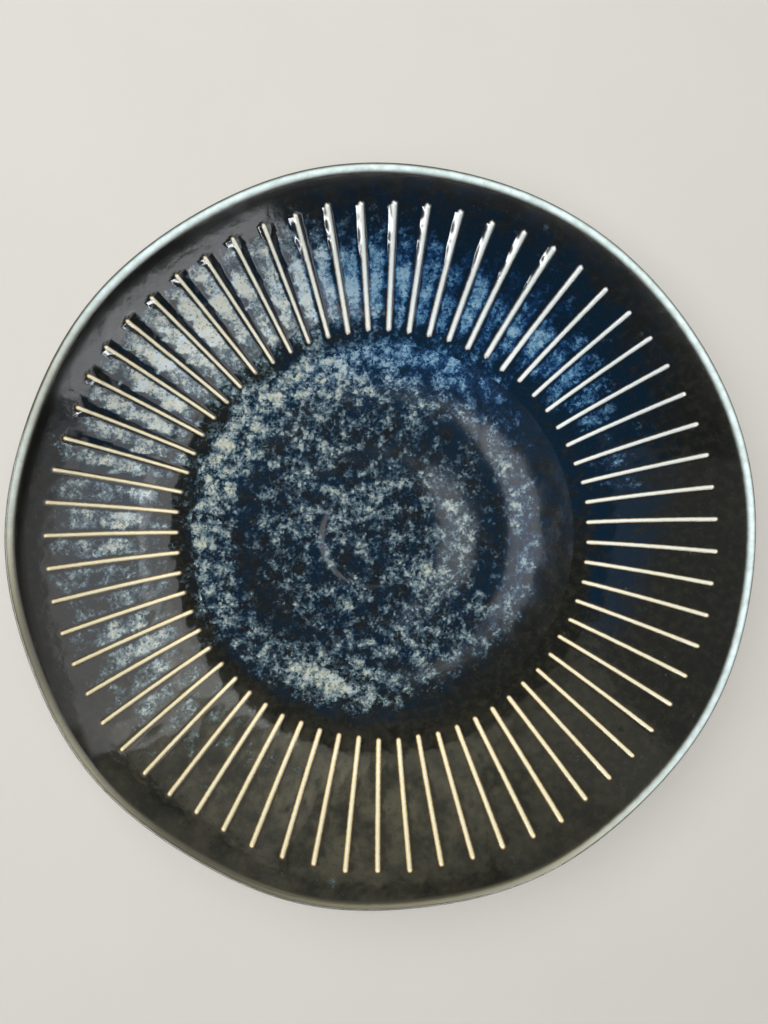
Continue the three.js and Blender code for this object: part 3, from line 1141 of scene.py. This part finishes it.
# One soft box lights the plate, and the cards only show in its gloss: name, azimuth (0 is +X and 90 is +Y)
# and elevation in degrees, width and height in metres at a distance of one metre, radiance and colour
SOFT_BOX = ("overhead_softbox", 135, 75, 1.2, 1.2, 3.2, (1.0, 0.99, 0.97))
CARDS = [
    ("right_card", -8, 36, 1.5, 0.575, 1.7, (1.0, 0.99, 0.98)),
    ("low_right_card", -2, 17.5, 0.84, 0.09, 0.8, (1.0, 0.98, 0.95)),
    ("upper_right_card", 4, 60, 0.7, 0.46, 2.05, (0.98, 0.99, 1.0)),
    ("front_right_card", -58, 40.5, 0.54, 0.79, 2.0, (0.95, 0.98, 1.0)),
    ("low_front_card", -48, 16.2, 0.72, 0.1, 3.6, (0.95, 0.98, 1.0)),
    ("back_right_card", 46, 46, 0.66, 0.86, 0.85, (1.0, 0.97, 0.8)),
    ("back_card", 86, 46.5, 0.66, 0.9, 0.6, (1.0, 0.97, 0.72)),
    ("low_back_card", 66, 17, 1.3, 0.16, 0.45, (1.0, 0.97, 0.8)),
    ("back_left_card", 126, 43, 0.66, 1.05, 0.4, (1.0, 0.97, 0.75)),
    ("left_card", 168, 32, 1.2, 1.0, 0.22, (1.0, 0.98, 0.9)),
    ("front_left_strip", -150, 8.0, 2.0, 0.062, 32, (0.96, 0.98, 1.0)),
    ("front_strip", -82, 6.6, 0.84, 0.034, 34, (0.96, 0.98, 1.0)),
]

# The photograph's camera: focal length and picture height in pixels, width of the film, tilt round X and Y in
# degrees, and place
FOCAL_LENGTH = 710
PICTURE_HEIGHT = 1024
FILM_WIDTH = 36
TILT = (-2.55, -1.69)
EYE = (-6.72, 18.41, 238.45)


def floor():
    mesh = bpy.data.meshes.new("studio_floor")
    half = FLOOR_HALF
    drop = -FLOOR_DROP * MM
    corners = [(-half, -half, drop), (half, -half, drop), (half, half, drop), (-half, half, drop)]
    mesh.from_pydata(corners, [], [(0, 1, 2, 3)])
    finish = Finish("studio_floor")
    colour = finish.mix(finish.grain(60), FLOOR_PALE, FLOOR_SHADE)
    mesh.materials.append(finish.shine(colour, 0.7, **{"Specular IOR Level": 0.0}))
    piece = bpy.data.objects.new("studio_floor", mesh)
    bpy.context.scene.collection.objects.link(piece)


def lamp(name, azimuth, elevation, width, height, radiance, colour, lights=False):
    """A lamp that faces the plate; it lights the plate or is only mirrored in it."""
    data = bpy.data.lights.new(name, "AREA")
    data.shape = "RECTANGLE"
    data.size = width
    data.size_y = height
    data.energy = radiance * math.pi * width * height
    data.color = colour
    box = bpy.data.objects.new(name, data)
    around = math.radians(azimuth)
    up = math.radians(elevation)
    box.location = (math.cos(around) * math.cos(up), math.sin(around) * math.cos(up), math.sin(up))
    box.rotation_euler = (math.pi / 2 - up, 0, around + math.pi / 2)
    box.visible_camera = False
    box.visible_diffuse = lights
    box.visible_glossy = not lights
    bpy.context.scene.collection.objects.link(box)


def world():
    studio = bpy.data.worlds.new("studio")
    studio.use_nodes = True
    back = studio.node_tree.nodes["Background"]
    back.inputs["Color"].default_value = (ROOM_GREY, ROOM_GREY, ROOM_GREY, 1)
    bpy.context.scene.world = studio


def camera():
    """The photograph's view: almost straight down, through a wide lens close above the plate."""
    data = bpy.data.cameras.new("camera")
    data.sensor_width = FILM_WIDTH
    data.lens = FOCAL_LENGTH / PICTURE_HEIGHT * FILM_WIDTH
    eye = bpy.data.objects.new("camera", data)
    tilt_x, tilt_y = (math.radians(turn) for turn in TILT)
    tilt = Matrix.Rotation(tilt_x, 4, "X") @ Matrix.Rotation(tilt_y, 4, "Y")
    eye.matrix_world = Matrix.Translation(Vector(EYE) * MM) @ tilt
    bpy.context.scene.collection.objects.link(eye)
    bpy.context.scene.camera = eye


floor()
world()
lamp(*SOFT_BOX, lights=True)
for card in CARDS:
    lamp(*card)
camera()
bpy.context.scene.view_settings.view_transform = "Standard"
